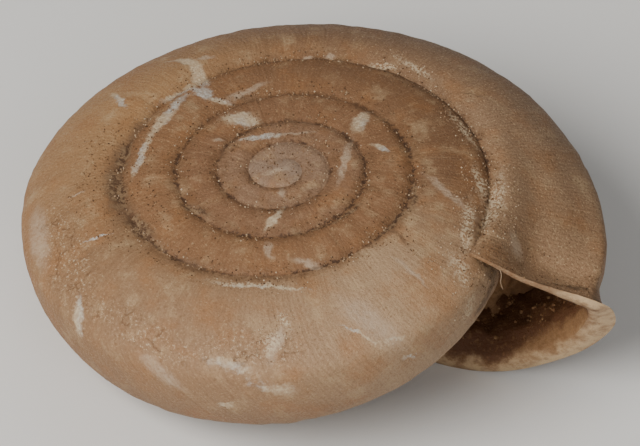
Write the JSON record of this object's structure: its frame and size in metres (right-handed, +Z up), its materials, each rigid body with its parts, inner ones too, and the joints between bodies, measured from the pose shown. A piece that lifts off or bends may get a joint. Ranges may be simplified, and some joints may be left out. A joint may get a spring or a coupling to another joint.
{
  "type": "land snail shell",
  "caption": "Empty flat-coiled land snail shell with a low spire, an open mouth with a turned-out lip and a wide navel; a natural specimen for display or a ground scene.",
  "frame": {"origin": "on the surface that the shell lies on, under the middle of its bounding box", "axes": "+Z up with the shell lying on its base, +X the longest way across, towards the side with the mouth; the mouth faces -Y"},
  "size_m": [0.0298, 0.027, 0.0121],
  "materials": {
    "shell": "matt, worn tan with fine growth lines, chalky patches and dried soil"
  },
  "bodies": {
    "root": {"shell": "shell"}
  },
  "joints": []
}
